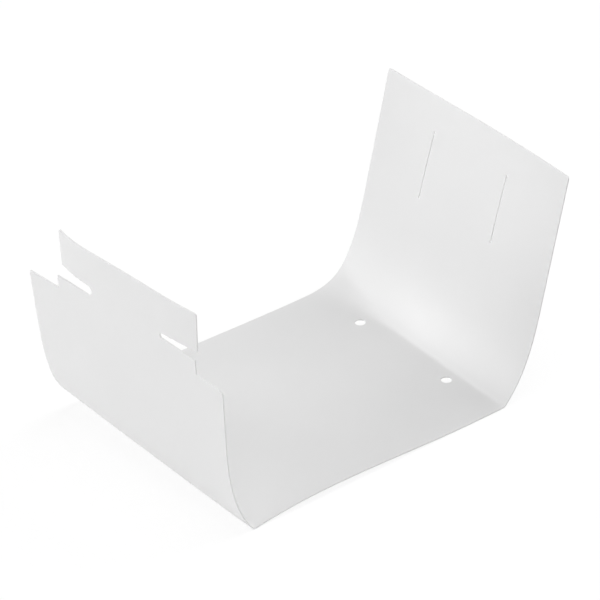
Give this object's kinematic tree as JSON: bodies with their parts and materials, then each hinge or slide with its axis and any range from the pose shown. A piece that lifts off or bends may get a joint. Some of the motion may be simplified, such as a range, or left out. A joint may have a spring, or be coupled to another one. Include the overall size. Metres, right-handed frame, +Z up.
{
  "type": "server air baffle shroud",
  "caption": "Springy plastic film folded into an open air channel: broad riveted base, tall plain wall, and a low wall that ends in a slotted hook tab.",
  "frame": {"origin": "midway between the two rivet holes, on the underside of the base", "axes": "+X across the channel towards the tall wall, +Y along the air flow from the front edge to the back edge, +Z up"},
  "size_m": [0.1609, 0.1, 0.086],
  "materials": {
    "film": "satin"
  },
  "bodies": {
    "root": {"air_baffle": "film"}
  },
  "joints": []
}
